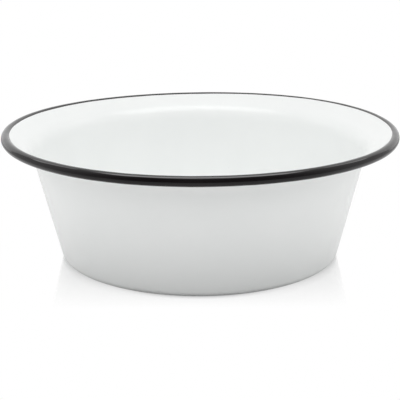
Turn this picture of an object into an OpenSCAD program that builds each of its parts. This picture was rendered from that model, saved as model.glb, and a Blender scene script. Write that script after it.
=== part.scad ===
// Enamelled steel basin bowl: one pressed steel pan with a hollow rolled rim,
// fired with a dark ground coat, a white cover coat and a black rim coat.
// Sizes are in millimetres. +Z is up, and the origin is on the table,
// under the middle of the bowl.

/* [Overall] */
// Diameter over the rolled rim
rim_d = 300; // [270:1:360]
// Height from the table to the top of the rolled rim
height = 98.3; // [70:0.1:140]

/* [Base] */
// Diameter of the foot ring, at the outer edge of its flat
foot_d = 203.2; // [160:0.2:240]
// Width of the flat of the foot ring
foot_w = 8; // [4:0.5:20]
// Height of the base panel above the foot ring
panel_rise = 1.5; // [0.5:0.1:4]
// Bend radius of the step between the base panel and the foot ring
step_r = 12; // [6:0.5:30]
// Outside radius of the heel, between the foot ring and the wall
heel_r = 6; // [2:0.1:12]

/* [Lip] */
// Reach of the lip, from the inside corner of the throat to the outside of the rim
lip_w = 23.5; // [16:0.1:35]
// Drop of the lip, from the top of the rim to the inside corner of the throat
lip_drop = 12.9; // [8:0.1:25]
// Outside radius of the throat, between the wall and the lip
throat_r = 18; // [3:0.5:26]

/* [Rolled rim] */
// Diameter of the rolled rim's section
bead_d = 7.1; // [5:0.1:10]
// Gap between the tucked-in edge of the roll and the underside of the lip
tuck_gap = 0.3; // [0.1:0.05:1]

/* [Layers] */
// Thickness of the steel sheet
steel_t = 0.6; // [0.4:0.05:1]
// Thickness of the dark ground coat on each face
ground_t = 0.12; // [0.1:0.01:0.2]
// Thickness of the white and black coats over the ground coat
cover_t = 0.2; // [0.15:0.01:0.4]

/* [Hidden] */
$fn = 180;

// Turn of each straight piece of a bend, in degrees
bend_step = 6;

// Heights of the layer boundaries above the inside face of the steel.
// A height is positive towards the inside of the bowl and the outside of the roll.
inner_ground = ground_t;
inner_cover = ground_t + cover_t;
outer_steel = -steel_t;
outer_ground = -steel_t - ground_t;
outer_cover = -steel_t - ground_t - cover_t;

// Centre of the heel bend, and its radius at the inside face of the steel
heel_c = [foot_d / 2, heel_r];
heel_in_r = heel_r + outer_cover;

// The step is two equal bends, one down from the panel and one back to level
step_a = acos(1 - panel_rise / (2 * step_r));
step_low_c = [foot_d / 2 - foot_w, step_r - outer_cover];
step_top_c = step_low_c + 2 * step_r * heading(270 - step_a);

// Centre of the rolled rim, and its radius at the inside face of the steel
bead_c = [rim_d / 2 - bead_d / 2, height - bead_d / 2];
bead_in_r = bead_d / 2 - inner_cover;

// Inside corner of the throat, where the wall and the lip would meet unbent
throat_k = [rim_d / 2 - lip_w, height - lip_drop];

// The wall runs from the heel to the throat's corner, and the lip from there to the roll.
// Each is a tangent to its bend, so its angle above level comes from the two points and the radius.
wall_a = tangent_angle(heel_c, throat_k, heel_in_r);
lip_a = tangent_angle(throat_k, bead_c, bead_in_r);

// Centre of the throat bend, set so that the wall and the lip are its tangents
throat_in_r = throat_r - outer_cover;
throat_cut = throat_in_r * tan((wall_a - lip_a) / 2);
throat_c = throat_k - throat_cut * heading(wall_a) + throat_in_r * heading(wall_a - 90);

// The roll stops where its coated edge is one tuck_gap short of the coated lip
lip_under = bead_in_r + outer_cover;
curl_turn = 360 - acos((lip_under - tuck_gap) / (bead_d / 2));

// Unit vector at an angle in the section plane, where X is the radius and Y the height
function heading(a) = [cos(a), sin(a)];

// Angle of the line through two points, turned to touch a circle of radius r about one of them
function tangent_angle(p, q, r) =
    atan2(q.y - p.y, q.x - p.x) + asin(r / norm(q - p));

// Points of an arc about c, in equal pieces of about bend_step each
function arc(c, r, from, to) =
    let (pieces = ceil(abs(to - from) / bend_step))
    [for (i = [0:pieces]) c + r * heading(from + (to - from) * i / pieces)];

// Section line of the pan at height h above the steel's inside face, from the axis up to the lip
function pan_line(h) = concat(
    [[0, step_top_c.y + step_r + h]],
    arc(step_top_c, step_r + h, 90, 90 - step_a),
    arc(step_low_c, step_r - h, 270 - step_a, 270),
    arc(heel_c, heel_in_r - h, 270, 270 + wall_a),
    arc(throat_c, throat_in_r + h, 90 + wall_a, 90 + lip_a)
);

// Section line of the roll at height h, from the end of the lip to the tucked-in edge
function roll_line(h) = arc(bead_c, bead_in_r + h, 90 + lip_a, 90 + lip_a - curl_turn);

// End of the lip at height h, where the roll starts
function lip_end(h) = [roll_line(h)[0]];

// The same points from last to first
function reversed(points) = [for (i = [len(points) - 1:-1:0]) points[i]];

// Solid of revolution between two section lines
module layer(lower, upper) {
    rotate_extrude()
        polygon(concat(lower, reversed(upper)));
}

// Layer from the axis to the end of the lip
module pan_layer(h0, h1) {
    layer(concat(pan_line(h0), lip_end(h0)), concat(pan_line(h1), lip_end(h1)));
}

// Layer from the axis, over the lip and round the roll to its tucked-in edge
module full_layer(h0, h1) {
    layer(concat(pan_line(h0), roll_line(h0)), concat(pan_line(h1), roll_line(h1)));
}

// Pressed sheet with its rolled rim
module steel_pan() {
    color("dimgray") full_layer(outer_steel, 0);
}

// Grip enamel on the inside face and on the outside of the roll
module inner_ground_coat() {
    color("midnightblue") full_layer(0, inner_ground);
}

// Grip enamel on the outside face, up to the roll
module outer_ground_coat() {
    color("midnightblue") pan_layer(outer_ground, outer_steel);
}

// White enamel on the inside, up to the roll
module inner_white_coat() {
    color("white") pan_layer(inner_ground, inner_cover);
}

// White enamel on the outside and the underside, with the foot ring that the bowl stands on
module outer_white_coat() {
    color("white") pan_layer(outer_cover, outer_ground);
}

// Black enamel round the roll
module black_rim_coat() {
    color("black") layer(roll_line(inner_ground), roll_line(inner_cover));
}

steel_pan();
inner_ground_coat();
outer_ground_coat();
inner_white_coat();
outer_white_coat();
black_rim_coat();
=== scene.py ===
"""Looks of an enamelled steel basin bowl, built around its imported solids.

The basin is one pressed steel pan with a hollow rolled rim. Dark ground enamel is fired onto both faces,
white enamel over it, and black enamel round the roll. Every layer is a surface of revolution between two
lines that run side by side with the section of the steel. All lengths are in metres, and +Z is up.
"""

import logging
import math
from abc import ABC, abstractmethod
from dataclasses import dataclass
from enum import Enum
from typing import Optional, Union

import bpy
import numpy as np
from bpy.types import Material, Mesh, NodeTree
from bpy.types import NodeSocket as Socket
from mathutils import Matrix, Vector
from numpy import ndarray as Array


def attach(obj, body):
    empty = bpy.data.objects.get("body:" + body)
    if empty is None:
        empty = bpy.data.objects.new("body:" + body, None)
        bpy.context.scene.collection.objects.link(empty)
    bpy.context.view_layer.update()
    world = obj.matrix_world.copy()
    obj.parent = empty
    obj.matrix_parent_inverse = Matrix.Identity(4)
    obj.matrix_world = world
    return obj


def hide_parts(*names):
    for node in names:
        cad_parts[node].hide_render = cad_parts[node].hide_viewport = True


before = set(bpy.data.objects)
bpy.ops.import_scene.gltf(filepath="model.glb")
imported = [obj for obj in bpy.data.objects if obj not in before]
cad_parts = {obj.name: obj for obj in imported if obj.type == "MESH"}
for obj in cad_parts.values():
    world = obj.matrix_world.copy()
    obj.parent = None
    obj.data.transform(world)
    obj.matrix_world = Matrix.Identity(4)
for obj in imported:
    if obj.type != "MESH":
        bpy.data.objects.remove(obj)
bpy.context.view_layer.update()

LOG = logging.getLogger("basin")
MM = 0.001
BODY = "root"
EDGE_ATTRIBUTE = "coat_edge"
RUB_ATTRIBUTE = "rub"
PLAIN_WHITE = (1, 1, 1, 1)
FULL_TURN = 2 * math.pi

# Degrees: a ring's reach to each side of the front, and the bend above which a mesh shows an edge
ALL_ROUND = 180.0
SHARP_BEND = 50.0

Span = tuple[float, float]
Line = tuple[Span, Span]
Tone = tuple[float, float, float]
Input = Union[float, tuple, Socket]
Pieces = dict[str, Mesh]


class Slot(Enum):
    """Material slots of the record, one held by each layer."""

    STEEL = "steel"
    GROUND = "ground_enamel"
    WHITE = "white_enamel"
    BLACK = "black_enamel"


class Leg(Enum):
    """Stretches of the section, in order from the axis to the tucked-in edge."""

    PANEL = 0
    STEP_DOWN = 1
    STEP_LEVEL = 2
    FOOT = 3
    HEEL = 4
    WALL = 5
    THROAT = 6
    LIP = 7
    ROLL = 8


class Curve(Enum):
    """Shapes of a step between two values in a shader."""

    SMOOTH = "SMOOTHSTEP"
    STRAIGHT = "LINEAR"


class SocketKind(Enum):
    """Kinds of socket on a shader group."""

    VALUE = "NodeSocketFloat"
    VECTOR = "NodeSocketVector"
    COLOUR = "NodeSocketColor"


# Rows of the surface grid along each stretch of the section
LEG_ROWS = {
    Leg.PANEL: 14,
    Leg.STEP_DOWN: 5,
    Leg.STEP_LEVEL: 5,
    Leg.FOOT: 4,
    Leg.HEEL: 12,
    Leg.WALL: 30,
    Leg.THROAT: 12,
    Leg.LIP: 12,
    Leg.ROLL: 54,
}


def smooth(share: Array) -> Array:
    """Smooth step from 0 to 1: three times the square of a share less twice its cube."""
    held = np.clip(share, 0, 1)
    return held**2 * (3 - 2 * held)


@dataclass(frozen=True)
class BasinSizes:
    """Driving sizes of the basin, with the same names and values as in the solids."""

    rim_d: float = 300 * MM
    height: float = 98.3 * MM
    foot_d: float = 203.2 * MM
    foot_w: float = 8 * MM
    panel_rise: float = 1.5 * MM
    step_r: float = 12 * MM
    heel_r: float = 6 * MM
    lip_w: float = 23.5 * MM
    lip_drop: float = 12.9 * MM
    throat_r: float = 18 * MM
    bead_d: float = 7.1 * MM
    tuck_gap: float = 0.3 * MM
    steel_t: float = 0.6 * MM
    ground_t: float = 0.12 * MM
    cover_t: float = 0.2 * MM

    @property
    def inner_ground(self) -> float:
        """Height of the inside ground coat's face above the steel's inside face."""
        return self.ground_t

    @property
    def inner_cover(self) -> float:
        """Height of the inside cover coat's face above the steel's inside face."""
        return self.ground_t + self.cover_t

    @property
    def outer_steel(self) -> float:
        """Height of the steel's outside face, which is below its inside face."""
        return -self.steel_t

    @property
    def outer_ground(self) -> float:
        """Height of the outside ground coat's face."""
        return -self.steel_t - self.ground_t

    @property
    def outer_cover(self) -> float:
        """Height of the outside cover coat's face."""
        return -self.steel_t - self.ground_t - self.cover_t


class Section:
    """Line of the steel's inside face in the plane of radius and height.

    The line is a chain of legs, each a straight or an arc of constant curvature, so a point is found from the
    distance run along the chain. Its left side is the inside of the bowl and the outside of the roll.
    """

    def __init__(self, sizes: BasinSizes) -> None:
        """Works out each leg's length and curvature from the driving sizes.

        Args:
            sizes: driving sizes of the basin.
        """
        step_angle = math.acos(1 - sizes.panel_rise / (2 * sizes.step_r))
        heel_radius = sizes.heel_r + sizes.outer_cover
        throat_radius = sizes.throat_r - sizes.outer_cover
        bead_radius = sizes.bead_d / 2 - sizes.inner_cover
        heel_centre = np.array([sizes.foot_d / 2, sizes.heel_r])
        throat_corner = np.array([sizes.rim_d / 2 - sizes.lip_w, sizes.height - sizes.lip_drop])
        bead_centre = np.array([sizes.rim_d / 2 - sizes.bead_d / 2, sizes.height - sizes.bead_d / 2])
        wall_angle, wall_length = self._tangent(heel_centre, throat_corner, heel_radius)
        lip_angle, lip_length = self._tangent(throat_corner, bead_centre, bead_radius)
        throat_turn = wall_angle - lip_angle
        throat_cut = throat_radius * math.tan(throat_turn / 2)
        lip_under = bead_radius + sizes.outer_cover
        curl_turn = FULL_TURN - math.acos((lip_under - sizes.tuck_gap) / (sizes.bead_d / 2))

        lengths = {
            Leg.PANEL: sizes.foot_d / 2 - sizes.foot_w - 2 * sizes.step_r * math.sin(step_angle),
            Leg.STEP_DOWN: sizes.step_r * step_angle,
            Leg.STEP_LEVEL: sizes.step_r * step_angle,
            Leg.FOOT: sizes.foot_w,
            Leg.HEEL: heel_radius * wall_angle,
            Leg.WALL: wall_length - throat_cut,
            Leg.THROAT: throat_radius * throat_turn,
            Leg.LIP: lip_length - throat_cut,
            Leg.ROLL: bead_radius * curl_turn,
        }
        curvatures = {
            Leg.STEP_DOWN: -1 / sizes.step_r,
            Leg.STEP_LEVEL: 1 / sizes.step_r,
            Leg.HEEL: 1 / heel_radius,
            Leg.THROAT: -1 / throat_radius,
            Leg.ROLL: -1 / bead_radius,
        }
        self.length = np.array([lengths[leg] for leg in Leg])
        self.curvature = np.array([curvatures.get(leg, 0.0) for leg in Leg])
        self.start = np.concatenate([[0.0], np.cumsum(self.length)])
        turns = np.concatenate([[0.0], np.cumsum(self.length * self.curvature)])
        self.heading = turns[:-1]
        self._corners = self._chain(np.array([0.0, sizes.panel_rise - sizes.outer_cover]))

    @staticmethod
    def _tangent(start: Array, end: Array, radius: float) -> Span:
        """Angle and length of the line between two points that touches a circle about one of them.

        Args:
            start: first point.
            end: second point.
            radius: radius of the circle, on the line's left at its start or on its right at its end.

        Returns:
            The line's angle above level and the length of its straight part.
        """
        across, up = end - start
        distance = math.hypot(across, up)
        angle = math.atan2(up, across) + math.asin(radius / distance)
        return angle, math.sqrt(distance**2 - radius**2)

    def _chain(self, first: Array) -> Array:
        """Start point of every leg, each the end of the leg before.

        Args:
            first: start of the first leg.

        Returns:
            An array of one point per leg.
        """
        steps = self._step(np.arange(len(Leg)), self.length)
        return first + np.concatenate([np.zeros((1, 2)), np.cumsum(steps, axis=0)[:-1]])

    def _step(self, leg: Array, run: Array) -> Array:
        """Way made from the start of a leg: the integral of the heading, which turns at a constant rate.

        Args:
            leg: index of each point's leg.
            run: distance of each point from the start of its leg.

        Returns:
            Radius and height gained, on a new last axis.
        """
        bend = self.curvature[leg] * run / 2
        chord = run * np.sinc(bend / math.pi)
        middle = self.heading[leg] + bend
        return np.stack([chord * np.cos(middle), chord * np.sin(middle)], axis=-1)

    def at(self, run: Array, lift: Array) -> Array:
        """Points of the section: the chain's point, moved along its left normal.

        Args:
            run: distance from the axis along the chain.
            lift: distance to the left of the chain, of the same shape as run.

        Returns:
            Radius and height of each point, on a new last axis.
        """
        leg = np.clip(np.searchsorted(self.start, run, side="right") - 1, 0, len(Leg) - 1)
        along = run - self.start[leg]
        angle = self.heading[leg] + self.curvature[leg] * along
        normal = np.stack([-np.sin(angle), np.cos(angle)], axis=-1)
        return self._corners[leg] + self._step(leg, along) + lift[..., None] * normal

    def rows(self, first: Leg, last: Leg) -> Array:
        """Distances of the grid rows from the start of one leg to the end of another.

        Args:
            first: leg that the rows start with.
            last: leg that the rows end with.

        Returns:
            Increasing distances, evenly spread over each leg.
        """
        cells = [
            self.start[leg.value] + self.length[leg.value] * np.arange(LEG_ROWS[leg]) / LEG_ROWS[leg]
            for leg in Leg
            if first.value <= leg.value <= last.value
        ]
        return np.concatenate(cells + [self.start[[last.value + 1]]])

    def run_to(self, leg: Leg) -> float:
        """Distance from the axis to the start of a leg."""
        return float(self.start[leg.value])


@dataclass(frozen=True)
class KilnWarp:
    """The slight skew that a basin takes in the press and the kiln. The foot stays flat and level."""

    sizes: BasinSizes
    throat_shift: float = -0.6 * MM
    rim_shift: float = 0.55 * MM
    rim_tilt: float = 0.001
    saddle: float = 0.35 * MM
    saddle_turn: float = 0.33
    ripple: float = 0.3 * MM
    ripple_turn: float = 0.79

    def bend(self, points: Array) -> Array:
        """Moves points by an amount that grows with their height.

        X moves by throat_shift in step with the height up the wall, and over the lip that changes smoothly to
        rim_shift. Z moves by the square of the share of the full height, times the sum of rim_tilt times X, a
        two-lobed saddle and a three-lobed ripple round the axis.

        Args:
            points: positions, with X, Y and Z on the last axis.

        Returns:
            The moved positions.
        """
        sizes = self.sizes
        x, y, z = np.moveaxis(points, -1, 0)
        angle = np.arctan2(y, x)
        throat_radius = sizes.rim_d / 2 - sizes.lip_w
        on_rim = smooth((np.hypot(x, y) - throat_radius) / (sizes.lip_w - sizes.bead_d))
        up_wall = np.clip(z / (sizes.height - sizes.lip_drop), 0, 1)
        slide = self.throat_shift * up_wall * (1 - on_rim) + self.rim_shift * on_rim
        lobes = self.saddle * np.cos(2 * (angle - self.saddle_turn))
        lobes += self.ripple * np.cos(3 * (angle - self.ripple_turn))
        rise = (self.rim_tilt * x + lobes) * (z / sizes.height) ** 2
        return np.stack([x + slide, y, z + rise], axis=-1)


@dataclass(frozen=True)
class Flow:
    """Gentle waves in a fired coat: sines in the angle and along the section, fading out at the axis."""

    lobes: tuple[int, ...] = (7, 11, 17)
    pitch: tuple[float, ...] = (46 * MM, -31 * MM, 23 * MM)
    depth: tuple[float, ...] = (0.014 * MM, 0.010 * MM, 0.007 * MM)
    calm: float = 40 * MM

    def lift(self, run: Array, angle: Array) -> Array:
        """Height of the waves.

        Each wave is its depth times a sine. The sine is of lobes times the angle, plus a full turn for each
        pitch of the run, plus lobes. Their sum fades smoothly to nothing from calm inwards.

        Args:
            run: distance from the axis along the section.
            angle: angle round the axis, of the same shape.

        Returns:
            The height of the waves at each point.
        """
        waves = np.zeros_like(run)
        for count, pitch, depth in zip(self.lobes, self.pitch, self.depth):
            waves += depth * np.sin(count * angle + FULL_TURN * run / pitch + count)
        return waves * smooth(run / self.calm)


@dataclass
class Shell:
    """A closed surface of revolution between a lower and an upper face, as grids of points.

    The edge and rub grids hold one value for each row and column of a face.
    """

    lower: Array
    upper: Array
    edge: Array
    rub: Array
    on_axis: bool

    def mesh(self, name: str) -> Mesh:
        """Makes the mesh: out along the lower face, back along the upper one, and round the axis.

        A shell that starts on the axis closes there in two points. Any other one closes as a ring.

        Args:
            name: name of the mesh.

        Returns:
            The mesh, with its faces pointing outwards.
        """
        loop = np.concatenate([self.lower, self.upper[::-1]])
        rows, columns = loop.shape[:2]
        column = np.arange(columns)
        following = (column + 1) % columns
        if self.on_axis:
            ring = 1 + np.arange(rows - 2)[:, None] * columns
            near, far = ring[:-1], ring[1:]
            bottom = np.zeros_like(column)
            top = np.full_like(column, ring[-1, 0] + columns)
            lower_tips = np.stack([bottom, ring[0] + following, ring[0] + column], axis=-1)
            upper_tips = np.stack([ring[-1] + column, ring[-1] + following, top], axis=-1)
            tips = np.concatenate([lower_tips, upper_tips])
        else:
            near = np.arange(rows)[:, None] * columns
            far = np.roll(near, -1, axis=0)
            tips = np.zeros((0, 3), int)
        quads = np.stack([near + column, near + following, far + following, far + column], axis=-1)
        mesh = bpy.data.meshes.new(name)
        mesh.from_pydata(self._points(loop).tolist(), [], quads.reshape(-1, 4).tolist() + tips.tolist())
        mesh.shade_smooth()
        mesh.set_sharp_from_angle(angle=math.radians(SHARP_BEND))
        for label, values in ((EDGE_ATTRIBUTE, self.edge), (RUB_ATTRIBUTE, self.rub)):
            on_points = self._points(np.concatenate([values, values[::-1]])).astype(np.float32)
            attribute = mesh.attributes.new(label, "FLOAT", "POINT")
            attribute.data.foreach_set("value", on_points)
        return mesh

    def _points(self, loop: Array) -> Array:
        """List of a loop's values, point by point, with each end of a shell on the axis as one point.

        Args:
            loop: values on the rows and columns of the whole surface, with any further axes.

        Returns:
            The values in the order of the mesh's points.
        """
        inner = loop[1:-1] if self.on_axis else loop
        points = inner.reshape(-1, *loop.shape[2:])
        return np.concatenate([loop[:1, 0], points, loop[-1:, 0]]) if self.on_axis else points


@dataclass(frozen=True)
class Lathe:
    """Turns stretches of the section into shells, with the basin's skew and the waves of its coats."""

    sizes: BasinSizes
    section: Section
    warp: KilnWarp
    columns: int = 288

    # Line between white and black: its wander, how far in it lies and how much further on the -X side,
    # and the reach within which rows move with it
    border_lobes: tuple[int, ...] = (31, 13, 5)
    border_wander: tuple[float, ...] = (0.032 * MM, -0.048 * MM, -0.080 * MM)
    border_inset: float = 0.40 * MM
    border_lean: float = 0.42 * MM
    border_reach: float = 4 * MM

    # Rounding over of a crowned coat's edge, and the places of its extra rows as shares of the first cell
    crown_reach: float = 0.4 * MM
    crown_rows: tuple[float, ...] = (0.2, 0.45, 0.7)

    # Way from the flat of the foot to where nothing rubs
    rub_reach: float = 1.5 * MM

    def shell(
        self,
        first: Leg,
        last: Leg,
        low: float,
        high: float,
        low_flow: Optional[Flow] = None,
        high_flow: Optional[Flow] = None,
        crown: float = 0.0,
        rubbed: bool = False,
    ) -> Shell:
        """Layer between two heights above the steel's inside face.

        Rows near the border between white and black move with it, by a share that falls off as a square. A
        crowned layer rises by crown times one less an exponential, which falls off from the border by a
        factor of e for each crown_reach.

        Args:
            first: leg that the layer starts with.
            last: leg that the layer ends with.
            low: height of the lower face.
            high: height of the upper face.
            low_flow: waves of the lower face, where it is a coat's outside.
            high_flow: waves of the upper face, where it is a coat's outside.
            crown: rise of the upper face away from the border with the next coat.
            rubbed: whether the layer's foot rubs on the table.

        Returns:
            The layer as a closed shell.
        """
        runs = self.section.rows(first, last)
        if crown:
            runs = np.insert(runs, 1, runs[0] + np.array(self.crown_rows) * (runs[1] - runs[0]))
        angles = np.arange(self.columns) * FULL_TURN / self.columns
        run, angle = np.meshgrid(runs, angles, indexing="ij")
        edge = np.abs(run - self.section.run_to(Leg.ROLL))
        run = run + np.clip(1 - edge / self.border_reach, 0, 1) ** 2 * self._border(angle)
        rise = crown * (1 - np.exp(-edge / self.crown_reach))
        lower = self._face(run, angle, low + self._waves(low_flow, run, angle))
        upper = self._face(run, angle, high + rise + self._waves(high_flow, run, angle))
        rub = self._rub(run) if rubbed else np.zeros_like(run)
        return Shell(lower, upper, edge, rub, first is Leg.PANEL)

    def _border(self, angle: Array) -> Array:
        """Shift of the line between white and black: sines in the angle, a lean along X and an inset.

        Args:
            angle: angle round the axis.

        Returns:
            The shift along the section, away from the axis.
        """
        shift = self.border_lean * np.cos(angle) - self.border_inset
        for count, size in zip(self.border_lobes, self.border_wander):
            shift += size * np.sin(count * angle)
        return shift

    def _rub(self, run: Array) -> Array:
        """Share of handling wear: full on the flat of the foot, fading to none over the bends beside it.

        Args:
            run: distance along the section.

        Returns:
            Shares from 0 to 1.
        """
        start = self.section.run_to(Leg.FOOT)
        end = self.section.run_to(Leg.HEEL)
        beside = np.maximum(np.maximum(start - run, run - end), 0)
        return np.clip(1 - beside / self.rub_reach, 0, 1)

    @staticmethod
    def _waves(flow: Optional[Flow], run: Array, angle: Array) -> Array:
        """Waves of a face, or none."""
        return flow.lift(run, angle) if flow else np.zeros_like(run)

    def _face(self, run: Array, angle: Array, lift: Array) -> Array:
        """One face: the section's points turned about the axis, then skewed.

        Args:
            run: distance along the section.
            angle: angle round the axis.
            lift: height above the steel's inside face.

        Returns:
            Positions, with X, Y and Z on the last axis.
        """
        radius, height = np.moveaxis(self.section.at(run, lift), -1, 0)
        turned = np.stack([radius * np.cos(angle), radius * np.sin(angle), height], axis=-1)
        return self.warp.bend(turned)


class Graph:
    """A node tree with short calls for adding and joining nodes."""

    # Places of the colours and of the blended colour among a Mix node's sockets
    MIX_FIRST = 6
    MIX_SECOND = 7
    MIX_RESULT = 2

    def __init__(self, tree: NodeTree) -> None:
        """Wraps a node tree."""
        self.tree = tree

    def add(self, kind: str, inputs: Optional[dict] = None, **settings: object) -> bpy.types.Node:
        """Adds a node.

        Args:
            kind: Blender's name for the node type.
            inputs: socket names or numbers, each with a plain value or an output socket to join it to.
            settings: properties of the node.

        Returns:
            The node.
        """
        node = self.tree.nodes.new(kind)
        for name, value in settings.items():
            setattr(node, name, value)
        for name, value in (inputs or {}).items():
            if isinstance(value, Socket):
                self.tree.links.new(value, node.inputs[name])
            else:
                node.inputs[name].default_value = value
        return node

    def first(self, kind: str, inputs: Optional[dict] = None, **settings: object) -> Socket:
        """First output of a new node."""
        return self.add(kind, inputs, **settings).outputs[0]

    def math(self, operation: str, *values: Input) -> Socket:
        """Result of a Math node on one to three values or sockets."""
        return self.first("ShaderNodeMath", dict(enumerate(values)), operation=operation)

    def vector(self, operation: str, *values: Input) -> Socket:
        """Vector that a Vector Math node makes of one or two vectors."""
        return self.first("ShaderNodeVectorMath", dict(enumerate(values)), operation=operation)

    def blend(self, share: Input, below: Input, above: Input) -> Socket:
        """Colour between two colours: the first at a share of 0, and the second at 1."""
        inputs = {"Factor": share, self.MIX_FIRST: below, self.MIX_SECOND: above}
        return self.add("ShaderNodeMix", inputs, data_type="RGBA").outputs[self.MIX_RESULT]

    def ramp(
        self,
        value: Input,
        low: Input,
        high: Input,
        to_low: Input,
        to_high: Input,
        curve: Curve = Curve.SMOOTH,
    ) -> Socket:
        """Step of a value from one range to another.

        Args:
            value: the value.
            low: where the step starts.
            high: where the step ends.
            to_low: result up to the start.
            to_high: result from the end on.
            curve: shape of the step.

        Returns:
            The result.
        """
        inputs = {"Value": value, "From Min": low, "From Max": high, "To Min": to_low, "To Max": to_high}
        return self.first("ShaderNodeMapRange", inputs, interpolation_type=curve.value)

    def noise(self, vector: Input, size: Input, detail: float) -> Socket:
        """Noise from 0 to 1 with features of about a given size in metres."""
        inputs = {"Vector": vector, "Scale": self.math("DIVIDE", 1.0, size), "Detail": detail}
        return self.add("ShaderNodeTexNoise", inputs).outputs["Fac"]

    def coordinates(self, kind: str) -> Socket:
        """Texture coordinates of one kind."""
        return self.add("ShaderNodeTexCoord").outputs[kind]

    def attribute(self, name: str) -> Socket:
        """Value of an attribute of the mesh's points."""
        return self.add("ShaderNodeAttribute", attribute_name=name).outputs["Fac"]

    def part(self, vector: Input, axis: str) -> Socket:
        """One of the X, Y and Z parts of a vector."""
        return self.add("ShaderNodeSeparateXYZ", {0: vector}).outputs[axis]

    def level(self, vector: Input) -> Socket:
        """A vector with no height."""
        return self.vector("MULTIPLY", vector, (1, 1, 0))

    def facing(self, vector: Input) -> Socket:
        """Side of the axis that a vector points to: -1 is the front, 0 the left or right, 1 the back."""
        return self.part(self.vector("NORMALIZE", self.level(vector)), "Y")

    def radius(self, vector: Input) -> Socket:
        """Distance from the axis."""
        node = self.add("ShaderNodeVectorMath", {0: self.level(vector)}, operation="LENGTH")
        return node.outputs["Value"]

    def shows_background(self) -> Socket:
        """1 for rays that show the background directly, in gloss or through glass, and 0 for others."""
        path = self.add("ShaderNodeLightPath").outputs
        indirect = self.math("MAXIMUM", path["Is Glossy Ray"], path["Is Transmission Ray"])
        return self.math("MAXIMUM", path["Is Camera Ray"], indirect)

    def backfacing(self) -> Socket:
        """1 on the back of a surface and 0 on its front."""
        return self.add("ShaderNodeNewGeometry").outputs["Backfacing"]

    def glow(self, strength: Input) -> Socket:
        """White light that a surface gives out by itself."""
        return self.first("ShaderNodeEmission", {"Color": PLAIN_WHITE, "Strength": strength})

    def mix(self, share: Input, below: Socket, above: Socket) -> Socket:
        """Shader between two shaders: the first at a share of 0, and the second at 1."""
        return self.first("ShaderNodeMixShader", {0: share, 1: below, 2: above})

    def clear_where(self, share: Input, shader: Socket) -> Socket:
        """Shader that is see-through by a share from 0 to 1."""
        return self.mix(share, shader, self.first("ShaderNodeBsdfTransparent"))

    def bump(self, height: Input, depth: float) -> Socket:
        """Normal of a relief of a given depth."""
        return self.first("ShaderNodeBump", {"Strength": 1.0, "Distance": depth, "Height": height})

    def group(self, tree: NodeTree, **inputs: Input) -> bpy.types.bpy_prop_collection:
        """Outputs of a shader group placed with its own input values."""
        return self.add("ShaderNodeGroup", inputs, node_tree=tree).outputs

    def end(self, shader: Socket) -> None:
        """Makes a shader the surface of the material."""
        self.add("ShaderNodeOutputMaterial", {"Surface": shader})


class EffectGraph(Graph):
    """The graph of a new shader group, from its named inputs to its named outputs."""

    def __init__(self, name: str, *values: str, colours: tuple[str, ...] = ()) -> None:
        """Starts the group, with the place on the piece as its first input.

        Args:
            name: name of the group.
            values: names of the inputs that are plain values.
            colours: names of the inputs that are colours.
        """
        super().__init__(bpy.data.node_groups.new(name, "ShaderNodeTree"))
        kinds = {"place": SocketKind.VECTOR}
        kinds.update(dict.fromkeys(values, SocketKind.VALUE))
        kinds.update(dict.fromkeys(colours, SocketKind.COLOUR))
        for label, kind in kinds.items():
            self.tree.interface.new_socket(label, in_out="INPUT", socket_type=kind.value)
        self.given = self.add("NodeGroupInput").outputs

    def finish(self, **outputs: Socket) -> NodeTree:
        """Ends the group.

        Args:
            outputs: output names with the socket that feeds each.

        Returns:
            The group.
        """
        for label, source in outputs.items():
            kind = SocketKind.COLOUR if source.type == "RGBA" else SocketKind.VALUE
            self.tree.interface.new_socket(label, in_out="OUTPUT", socket_type=kind.value)
        self.add("NodeGroupOutput", outputs)
        return self.tree


@dataclass(frozen=True)
class EffectSettings:
    """Noise levels and sizes that the shared effects have in every finish."""

    relief_detail: float = 1.0
    cloud_detail: float = 3.0
    cloud_band: Span = (0.35, 0.65)
    uneven_size: float = 7 * MM
    uneven_detail: float = 2.0
    uneven_band: Span = (0.3, 0.7)
    uneven_widths: Span = (0.5, 1.5)
    scuff_detail: float = 5.0
    scuff_band: Span = (0.45, 0.7)


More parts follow.
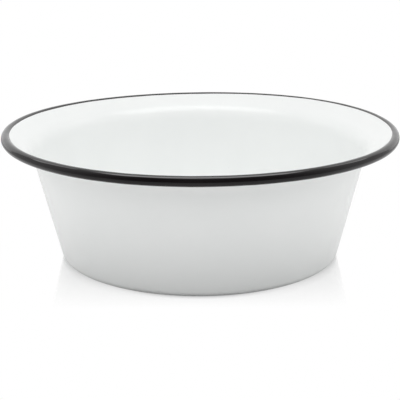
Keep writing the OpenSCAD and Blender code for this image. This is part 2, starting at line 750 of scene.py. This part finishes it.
class Effects:
    """Shader groups that several finishes share."""

    def __init__(self, settings: EffectSettings = EffectSettings()) -> None:
        """Builds every group once.

        Args:
            settings: noise levels and sizes of the effects.
        """
        self.settings = settings
        self.relief = self._relief()
        self.clouds = self._clouds()
        self.specks = self._specks()
        self.thinning = self._thinning()
        self.scuffs = self._scuffs()

    def _relief(self) -> NodeTree:
        """Height of a fired surface: slow waves plus a share of a fine orange peel."""
        graph = EffectGraph("fired_relief", "wave_size", "peel_size", "peel_share")
        given = graph.given
        wave = graph.noise(given["place"], given["wave_size"], self.settings.relief_detail)
        peel = graph.noise(given["place"], given["peel_size"], self.settings.relief_detail)
        return graph.finish(height=graph.math("MULTIPLY_ADD", peel, given["peel_share"], wave))

    def _clouds(self) -> NodeTree:
        """Cloudy change between two tones, as a coat's thickness drifts."""
        graph = EffectGraph("coat_clouds", "size", colours=("thick", "thin"))
        given = graph.given
        drift = graph.noise(given["place"], given["size"], self.settings.cloud_detail)
        share = graph.ramp(drift, *self.settings.cloud_band, 0.0, 1.0)
        return graph.finish(tone=graph.blend(share, given["thick"], given["thin"]), share=share)

    def _specks(self) -> NodeTree:
        """Sparse round specks and pinholes: small discs in some cells of a cell pattern."""
        graph = EffectGraph("kiln_specks", "cell_size", "radius", "share")
        given = graph.given
        scale = graph.math("DIVIDE", 1.0, given["cell_size"])
        cells = graph.add("ShaderNodeTexVoronoi", {"Vector": given["place"], "Scale": scale}).outputs
        away = graph.math("MULTIPLY", cells["Distance"], given["cell_size"])
        disc = graph.ramp(away, given["radius"], 0.0, 0.0, 1.0)
        lot = graph.first("ShaderNodeSeparateColor", {0: cells["Color"]})
        chosen = graph.math("LESS_THAN", lot, given["share"])
        return graph.finish(mask=graph.math("MULTIPLY", disc, chosen))

    def _thinning(self) -> NodeTree:
        """Mask along a coat's edge, where it thins out, with an uneven width."""
        graph = EffectGraph("edge_thinning", "edge", "width")
        given = graph.given
        drift = graph.noise(given["place"], self.settings.uneven_size, self.settings.uneven_detail)
        uneven = graph.ramp(drift, *self.settings.uneven_band, *self.settings.uneven_widths)
        width = graph.math("MULTIPLY", given["width"], uneven)
        return graph.finish(mask=graph.ramp(given["edge"], 0.0, width, 1.0, 0.0))

    def _scuffs(self) -> NodeTree:
        """Mask of fine scuffs where a surface is rubbed."""
        graph = EffectGraph("handling_scuffs", "rub", "size")
        given = graph.given
        patches = graph.noise(given["place"], given["size"], self.settings.scuff_detail)
        scuffed = graph.ramp(patches, *self.settings.scuff_band, 0.0, 1.0)
        return graph.finish(mask=graph.math("MULTIPLY", scuffed, given["rub"]))


def blank_material(name: str) -> tuple[Material, Graph]:
    """Starts a material.

    Args:
        name: name of the material.

    Returns:
        The material and its empty graph.
    """
    material = bpy.data.materials.new(name)
    material.use_nodes = True
    material.node_tree.nodes.clear()
    return material, Graph(material.node_tree)


class Finish(ABC):
    """Looks of a material that a piece is made of."""

    @abstractmethod
    def material(self, effects: Effects) -> Material:
        """Builds the material from the shared shader groups."""


@dataclass(frozen=True)
class Enamel(Finish):
    """A glossy fired enamel: two near tones in slow clouds, specks, a thin edge and rubbed places."""

    name: str
    thick: Tone
    thin: Tone
    speck: Tone
    edge_tone: Tone
    rub_tone: Tone
    edge_width: float
    edge_share: float
    speck_share: float
    gloss: float
    dull: float
    cloud_size: float = 45 * MM
    cloud_dulling: float = 0.12
    speck_cell: float = 6 * MM
    speck_radius: float = 0.22 * MM
    scuff_size: float = 2.5 * MM
    wave_size: float = 24 * MM
    peel_size: float = 3.2 * MM
    peel_share: float = 0.1
    relief: float = 0.06 * MM
    glass_ior: float = 1.5

    def material(self, effects: Effects) -> Material:
        """Builds the material.

        Args:
            effects: shared shader groups.

        Returns:
            The finished material.
        """
        material, graph = blank_material(self.name)
        place = graph.coordinates("Object")
        edge = graph.attribute(EDGE_ATTRIBUTE)
        rub = graph.attribute(RUB_ATTRIBUTE)
        clouds = graph.group(
            effects.clouds,
            place=place,
            size=self.cloud_size,
            thick=(*self.thick, 1),
            thin=(*self.thin, 1),
        )
        specks = graph.group(
            effects.specks,
            place=place,
            cell_size=self.speck_cell,
            radius=self.speck_radius,
            share=self.speck_share,
        )
        thinning = graph.group(effects.thinning, place=place, edge=edge, width=self.edge_width)
        scuffs = graph.group(effects.scuffs, place=place, rub=rub, size=self.scuff_size)
        relief = graph.group(
            effects.relief,
            place=place,
            wave_size=self.wave_size,
            peel_size=self.peel_size,
            peel_share=self.peel_share,
        )
        edge_mask = graph.math("MULTIPLY", thinning["mask"], self.edge_share)
        tone = graph.blend(edge_mask, clouds["tone"], (*self.edge_tone, 1))
        tone = graph.blend(specks["mask"], tone, (*self.speck, 1))
        tone = graph.blend(scuffs["mask"], tone, (*self.rub_tone, 1))
        clouding = graph.math("MULTIPLY", clouds["share"], self.cloud_dulling)
        worn = graph.math("MAXIMUM", scuffs["mask"], clouding)
        looks = {
            "Base Color": tone,
            "Roughness": graph.ramp(worn, 0.0, 1.0, self.gloss, self.dull),
            "Normal": graph.bump(relief["height"], self.relief),
            "IOR": self.glass_ior,
        }
        graph.end(graph.first("ShaderNodeBsdfPrincipled", looks))
        return material


@dataclass(frozen=True)
class PressedSteel(Finish):
    """Pickled sheet steel with rolling grain along X and patches of fire scale."""

    name: str = "pressed_steel"
    bright: Tone = (0.36, 0.36, 0.37)
    scale: Tone = (0.11, 0.11, 0.13)
    patch_size: float = 18 * MM
    grain_size: float = 0.8 * MM
    grain_squeeze: tuple[float, float, float] = (0.05, 1.0, 1.0)
    grain_detail: float = 3.0
    grain_band: Span = (0.3, 0.7)
    grain_depth: float = 0.01 * MM
    roughness: Span = (0.35, 0.6)

    def material(self, effects: Effects) -> Material:
        """Builds the material.

        Args:
            effects: shared shader groups.

        Returns:
            The finished material.
        """
        material, graph = blank_material(self.name)
        place = graph.coordinates("Object")
        rolled = graph.first("ShaderNodeMapping", {"Vector": place, "Scale": self.grain_squeeze})
        grain = graph.noise(rolled, self.grain_size, self.grain_detail)
        clouds = graph.group(
            effects.clouds,
            place=place,
            size=self.patch_size,
            thick=(*self.bright, 1),
            thin=(*self.scale, 1),
        )
        looks = {
            "Base Color": clouds["tone"],
            "Roughness": graph.ramp(grain, *self.grain_band, *self.roughness),
            "Normal": graph.bump(grain, self.grain_depth),
            "Metallic": 1.0,
        }
        graph.end(graph.first("ShaderNodeBsdfPrincipled", looks))
        return material


WHITE_ENAMEL = Enamel(
    name="white_enamel",
    thick=(0.937, 0.952, 0.944),
    thin=(0.925, 0.941, 0.933),
    speck=(0.09, 0.08, 0.07),
    edge_tone=(0.42, 0.41, 0.40),
    rub_tone=(0.60, 0.60, 0.59),
    edge_width=0.35 * MM,
    edge_share=0.7,
    speck_share=0.35,
    gloss=0.20,
    dull=0.45,
    glass_ior=1.33,
)
BLACK_ENAMEL = Enamel(
    name="black_enamel",
    thick=(0.0058, 0.0044, 0.0048),
    thin=(0.0080, 0.0064, 0.0068),
    speck=(0.05, 0.05, 0.05),
    edge_tone=(0.030, 0.026, 0.025),
    rub_tone=(0.02, 0.02, 0.02),
    edge_width=0.3 * MM,
    edge_share=0.8,
    speck_share=0.2,
    gloss=0.10,
    dull=0.35,
    wave_size=14 * MM,
    glass_ior=1.55,
)
GROUND_ENAMEL = Enamel(
    name="ground_enamel",
    thick=(0.022, 0.026, 0.045),
    thin=(0.035, 0.040, 0.062),
    speck=(0.10, 0.10, 0.11),
    edge_tone=(0.030, 0.030, 0.040),
    rub_tone=(0.05, 0.05, 0.06),
    edge_width=0.4 * MM,
    edge_share=0.5,
    speck_share=0.9,
    gloss=0.16,
    dull=0.4,
)


def show(mesh: Mesh, node: str, material: Material) -> None:
    """Puts a piece into the scene in place of its solid.

    Args:
        mesh: finished mesh with the piece's name, and with its place in its points.
        node: solid that the piece stands for.
        material: finish of the piece.
    """
    piece = bpy.data.objects.new(mesh.name, mesh)
    bpy.context.scene.collection.objects.link(piece)
    mesh.materials.append(material)
    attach(piece, BODY)
    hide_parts(node)
    triangles = sum(len(polygon.vertices) - 2 for polygon in mesh.polygons)
    LOG.info("%s: %d points, %d triangles", mesh.name, len(mesh.vertices), triangles)


@dataclass
class Layer(ABC):
    """One material of the basin, as one or two pieces with one finish."""

    lathe: Lathe
    slot: Slot
    finish: Finish

    @abstractmethod
    def build(self) -> Pieces:
        """Meshes of the pieces, by the name of the solid that each stands for."""

    def dress(self, effects: Effects) -> None:
        """Builds the pieces and gives them their finish.

        Args:
            effects: shared shader groups.
        """
        material = self.finish.material(effects)
        for node, mesh in self.build().items():
            show(mesh, node, material)


@dataclass
class PressedPan(Layer):
    """The steel sheet, from the middle of the base to the edge tucked into the roll."""

    slot: Slot = Slot.STEEL
    finish: Finish = PressedSteel()

    def build(self) -> Pieces:
        """Mesh of the sheet, between its outside and inside faces, by the name of its solid."""
        sheet = self.lathe.shell(Leg.PANEL, Leg.ROLL, self.lathe.sizes.outer_steel, 0.0)
        return {"steel_pan": sheet.mesh("pan_sheet")}


@dataclass
class GroundCoats(Layer):
    """The dark grip enamel on both faces of the steel."""

    slot: Slot = Slot.GROUND
    finish: Finish = GROUND_ENAMEL

    def build(self) -> Pieces:
        """Meshes of the inside and outside coats, by the names of their solids."""
        sizes = self.lathe.sizes
        inside = self.lathe.shell(Leg.PANEL, Leg.ROLL, 0.0, sizes.inner_ground)
        outside = self.lathe.shell(Leg.PANEL, Leg.LIP, sizes.outer_ground, sizes.outer_steel)
        return {
            "inner_ground_coat": inside.mesh("ground_inside"),
            "outer_ground_coat": outside.mesh("ground_outside"),
        }


@dataclass
class WhiteCoats(Layer):
    """The white cover enamel inside and outside, each up to the roll."""

    slot: Slot = Slot.WHITE
    finish: Finish = WHITE_ENAMEL
    flow: Flow = Flow()

    def build(self) -> Pieces:
        """Meshes of the inside and outside coats, by the names of their solids."""
        sizes = self.lathe.sizes
        inside = self.lathe.shell(
            Leg.PANEL, Leg.LIP, sizes.inner_ground, sizes.inner_cover, high_flow=self.flow
        )
        outside = self.lathe.shell(
            Leg.PANEL, Leg.LIP, sizes.outer_cover, sizes.outer_ground, low_flow=self.flow, rubbed=True
        )
        return {
            "inner_white_coat": inside.mesh("white_inside"),
            "outer_white_coat": outside.mesh("white_outside"),
        }


@dataclass
class RimCoat(Layer):
    """The black enamel round the roll, a little crowned past its border with the white."""

    slot: Slot = Slot.BLACK
    finish: Finish = BLACK_ENAMEL
    crown: float = 0.05 * MM
    flow: Flow = Flow(
        lobes=(23, 41, 67),
        pitch=(30 * MM, -19 * MM, 23 * MM),
        depth=(0.016 * MM, 0.012 * MM, 0.008 * MM),
    )

    def build(self) -> Pieces:
        """Mesh of the coat, a ring with an open roll's section, by the name of its solid."""
        sizes = self.lathe.sizes
        coat = self.lathe.shell(
            Leg.ROLL, Leg.ROLL, sizes.inner_ground, sizes.inner_cover, high_flow=self.flow, crown=self.crown
        )
        return {"black_rim_coat": coat.mesh("rim_black")}


def turned_sheet(name: str, line: Line, half_angle: float, columns: int = 72) -> bpy.types.Object:
    """Stage piece: a straight line of radius and height carried round the axis.

    Args:
        name: name of the piece.
        line: radius and height of the line's two ends.
        half_angle: degrees that the piece reaches to each side of the front.
        columns: number of faces round the axis.

    Returns:
        The piece, marked as stage.
    """
    turn = np.radians(np.linspace(-half_angle, half_angle, columns + 1))
    radius, height = (ends[:, None] for ends in np.array(line).T)
    places = np.broadcast_arrays(radius * np.sin(turn), -radius * np.cos(turn), height)
    points = np.stack(places, axis=-1).reshape(-1, 3)
    corner = np.arange(columns)
    across = corner + columns + 1
    faces = np.stack([corner, across, across + 1, corner + 1], axis=-1)
    mesh = bpy.data.meshes.new(name)
    mesh.from_pydata(points.tolist(), [], faces.tolist())
    sheet = bpy.data.objects.new(name, mesh)
    bpy.context.scene.collection.objects.link(sheet)
    return sheet


@dataclass(frozen=True)
class Floor:
    """White floor, a faint mirror beside the bowl. It is open under the foot and see-through from below.

    A span of facing, radius or depth is where a step starts and ends. Facing is -1 in front of the bowl and 0
    beside it.
    """

    edges: Span = (0.1005, 4.0)

    # Share of light given back: far from the bowl, and close to it in front and beside, where it is lowered
    # as painted shade of the bowl
    bounce: float = 0.95
    painted_shade_bounce: Span = (0.44, 0.67)
    near_facing: Span = (-1.0, -0.4)
    near_radius: Span = (0.1015, 0.30)

    # Painted light: the floor further out glows and throws this light up at the wall
    uplight: float = 0.265
    uplight_radius: Span = (0.19, 0.30)

    # Share of plain white at the foot in front, aslant and beside. The rest is matt and takes the shadow,
    # which is partly real and partly painted by the darker floor near the foot.
    front_white: float = 0.52
    slant_white: float = 0.92
    side_white: float = 0.78
    slant_facing: Span = (-1.0, -0.8)
    side_facing: Span = (-0.6, -0.1)
    white_radius: Span = (0.1007, 0.1102)

    # Share of mirror, which falls off in front of and behind the axis, and all round
    mirror: float = 0.62
    mirror_depth: Span = (0.025, 0.125)
    mirror_radius: Span = (0.14, 0.20)

    def build(self) -> None:
        """Builds the floor and dresses it."""
        inner, outer = self.edges
        floor = turned_sheet("floor", ((inner, 0), (outer, 0)), ALL_ROUND)
        floor.data.materials.append(self.dress())

    def dress(self) -> Material:
        """Builds the floor's material.

        Returns:
            White to rays that show the background and matt to others, partly a mirror, and clear from below.
        """
        material, graph = blank_material("studio_floor")
        place = graph.coordinates("Object")
        radius = graph.radius(place)
        facing = graph.facing(place)
        # Painted shade: the floor's colour darkens towards the foot, most in front
        painted_shade_bounce = graph.ramp(facing, *self.near_facing, *self.painted_shade_bounce)
        bounce = graph.ramp(radius, *self.near_radius, painted_shade_bounce, self.bounce)
        matt = graph.first("ShaderNodeBsdfDiffuse", {"Color": bounce})
        # Painted light: the floor glows further out, added to its matt
        uplight = graph.glow(graph.ramp(radius, *self.uplight_radius, 0.0, self.uplight))
        matt = graph.first("ShaderNodeAddShader", {0: matt, 1: uplight})
        slant = graph.ramp(facing, *self.slant_facing, self.front_white, self.slant_white)
        side = graph.ramp(facing, *self.side_facing, self.slant_white, self.side_white)
        foot_white = graph.math("MINIMUM", slant, side)
        white = graph.ramp(radius, *self.white_radius, foot_white, 1.0)
        white = graph.math("MULTIPLY", white, graph.shows_background())
        surface = graph.mix(white, matt, graph.glow(1.0))
        depth = graph.math("ABSOLUTE", graph.part(place, "Y"))
        polish = graph.ramp(depth, *self.mirror_depth, self.mirror, 0.0, Curve.STRAIGHT)
        polish = graph.math("MULTIPLY", polish, graph.ramp(radius, *self.mirror_radius, 1.0, 0.0))
        mirror = graph.first("ShaderNodeBsdfGlossy", {"Color": PLAIN_WHITE, "Roughness": 0.0})
        surface = graph.mix(polish, surface, mirror)
        graph.end(graph.clear_where(graph.backfacing(), surface))
        return material


@dataclass(frozen=True)
class GreyCard:
    """Grey card that only shows as a reflection in the glossy enamel, darkest in front.

    It is darker still close to the foot, as painted shade that the heel reflects, clear from its other side,
    and not shown by the floor's mirror.
    """

    name: str
    line: Line
    half_angle: float
    tones: Span
    tone_facing: Span = (-0.95, 0.05)
    foot_shade: float = 0.35
    foot_shade_radius: Span = (0.1035, 0.1085)

    def build(self) -> None:
        """Builds the card and dresses it."""
        card = turned_sheet(self.name, self.line, self.half_angle)
        card.data.materials.append(self.dress())
        card.visible_camera = False
        card.visible_diffuse = False
        card.visible_shadow = False

    def dress(self) -> Material:
        """Builds the card's material.

        Returns:
            A plain grey glow that changes from the front to the sides, with its hidden sides clear.
        """
        material, graph = blank_material(self.name)
        place = graph.coordinates("Object")
        tone = graph.ramp(graph.facing(place), *self.tone_facing, *self.tones)
        # Painted shade: the card darkens close to the foot, so the heel reflects a contact shadow
        shade = graph.ramp(graph.radius(place), *self.foot_shade_radius, self.foot_shade, 1.0)
        grey = graph.glow(graph.math("MULTIPLY", tone, shade))
        mirrored = graph.add("ShaderNodeLightPath").outputs["Is Singular Ray"]
        hidden = graph.math("MAXIMUM", graph.backfacing(), mirrored)
        graph.end(graph.clear_where(hidden, grey))
        return material


# Two cards are flat rings just above the floor, and the third is an upright arc round the front and sides
NEAR_HEIGHT = 0.4 * MM
FAR_HEIGHT = 2 * MM
RING_START = 0.1037
RING_JOIN = 0.44
ARC_RADIUS = 1.3
ARC_TOP = 2.6
ARC_REACH = 125.0
NEAR_TONES = (0.42, 0.84)
FAR_TONES = (0.03, 0.50)
NEAR_LINE = ((RING_START, NEAR_HEIGHT), (RING_JOIN, NEAR_HEIGHT))
FAR_LINE = ((RING_JOIN, FAR_HEIGHT), (ARC_RADIUS, FAR_HEIGHT))
ARC_LINE = ((ARC_RADIUS, FAR_HEIGHT), (ARC_RADIUS, ARC_TOP))
NEAR_RING = GreyCard("near_ring", NEAR_LINE, ALL_ROUND, NEAR_TONES)
FAR_RING = GreyCard("far_ring", FAR_LINE, ALL_ROUND, FAR_TONES)
DARK_ARC = GreyCard("dark_arc", ARC_LINE, ARC_REACH, FAR_TONES)


@dataclass(frozen=True)
class GlossLamp:
    """Rectangular lamp that faces the middle of the floor and only shows as a reflection in gloss."""

    name: str
    place: tuple[float, float, float]
    size: Span
    radiance: float
    spread: float = 180.0

    def build(self) -> None:
        """Puts the lamp into the scene."""
        lamp = bpy.data.lights.new(self.name, "AREA")
        lamp.shape = "RECTANGLE"
        lamp.size, lamp.size_y = self.size
        lamp.spread = math.radians(self.spread)
        lamp.energy = self.radiance * math.pi * lamp.size * lamp.size_y
        holder = bpy.data.objects.new(self.name, lamp)
        holder.location = self.place
        holder.rotation_euler = Vector(self.place).to_track_quat("Z", "Y").to_euler()
        holder.visible_camera = False
        holder.visible_diffuse = False
        bpy.context.scene.collection.objects.link(holder)


SOFTBOX = GlossLamp("softbox", (0, -0.01, 1.1), (1.25, 0.48), 2.15, spread=140.0)
LEFT_BOX = GlossLamp("left_box", (-1.05, 0.55, 1.0), (0.3, 0.7), 1.7)
RIGHT_BOX = GlossLamp("right_box", (1.05, 0.55, 1.0), (0.3, 0.7), 1.7)


@dataclass(frozen=True)
class Surroundings:
    """Plain white surroundings, whose light on the bowl depends on where it comes from.

    A span of facing or rise is where a step starts and ends. Facing is -1 in front of the bowl, and rise is 1
    straight above it.
    """

    # Light from the sides and behind, from low and high in front, from straight above and from below
    sky: float = 0.92
    front_sky: Span = (0.35, 1.58)
    top_sky: float = 0.935
    under_sky: float = 0.55
    front_facing: Span = (-0.7, -0.3)
    front_rise: Span = (0.34, 0.60)
    top_rise: Span = (0.78, 0.97)
    under_rise: Span = (-0.8, 0.0)

    def build(self) -> None:
        """Builds the world: white to rays that show the background, and the given light to others."""
        world = bpy.data.worlds.new("surroundings")
        world.use_nodes = True
        world.node_tree.nodes.clear()
        bpy.context.scene.world = world
        graph = Graph(world.node_tree)
        way = graph.coordinates("Generated")
        rise = graph.part(way, "Z")
        front = graph.ramp(rise, *self.front_rise, *self.front_sky)
        light = graph.ramp(graph.facing(way), *self.front_facing, front, self.sky)
        light = graph.ramp(rise, *self.top_rise, light, self.top_sky)
        light = graph.ramp(rise, *self.under_rise, self.under_sky, light)
        lack = graph.math("SUBTRACT", 1.0, light)
        strength = graph.math("MULTIPLY_ADD", graph.shows_background(), lack, light)
        surface = graph.first("ShaderNodeBackground", {"Color": PLAIN_WHITE, "Strength": strength})
        graph.add("ShaderNodeOutputWorld", {"Surface": surface})


@dataclass(frozen=True)
class CameraStand:
    """Camera in front of the bowl, looking down on it along +Y. Its angles are in degrees."""

    lens: float = 99.0
    sensor_width: float = 36.0
    aim_side: float = 0.2 * MM
    aim_height: float = 40.2 * MM
    distance: float = 855.5 * MM
    pitch: float = 16.1
    roll: float = -0.23

    def build(self) -> None:
        """Puts the camera into the scene."""
        data = bpy.data.cameras.new("camera")
        data.lens = self.lens
        data.sensor_width = self.sensor_width
        camera = bpy.data.objects.new("camera", data)
        pitch = math.radians(self.pitch)
        aim = Vector((self.aim_side, 0, self.aim_height))
        camera.location = aim + Vector((0, -math.cos(pitch), math.sin(pitch))) * self.distance
        tilted = Matrix.Rotation(math.pi / 2 - pitch, 3, "X")
        rolled = Matrix.Rotation(math.radians(self.roll), 3, "Z")
        camera.rotation_euler = (tilted @ rolled).to_euler()
        bpy.context.scene.collection.objects.link(camera)
        bpy.context.scene.camera = camera


@dataclass(frozen=True)
class Studio:
    """Everything round the bowl."""

    floor: Floor = Floor()
    lamps: tuple[GlossLamp, ...] = (SOFTBOX, LEFT_BOX, RIGHT_BOX)
    cards: tuple[GreyCard, ...] = (NEAR_RING, FAR_RING, DARK_ARC)
    surroundings: Surroundings = Surroundings()
    camera: CameraStand = CameraStand()

    def build(self) -> None:
        """Builds everything in the studio."""
        for thing in (self.floor, *self.lamps, *self.cards, self.surroundings, self.camera):
            thing.build()


def main() -> None:
    """Builds the studio and every layer of the basin, from the steel outwards."""
    logging.basicConfig(level=logging.INFO, format="%(name)s: %(message)s")
    bpy.context.scene.view_settings.view_transform = "Standard"
    Studio().build()
    sizes = BasinSizes()
    lathe = Lathe(sizes, Section(sizes), KilnWarp(sizes))
    effects = Effects()
    for layer in (PressedPan(lathe), GroundCoats(lathe), WhiteCoats(lathe), RimCoat(lathe)):
        layer.dress(effects)


if __name__ == "__main__":
    main()
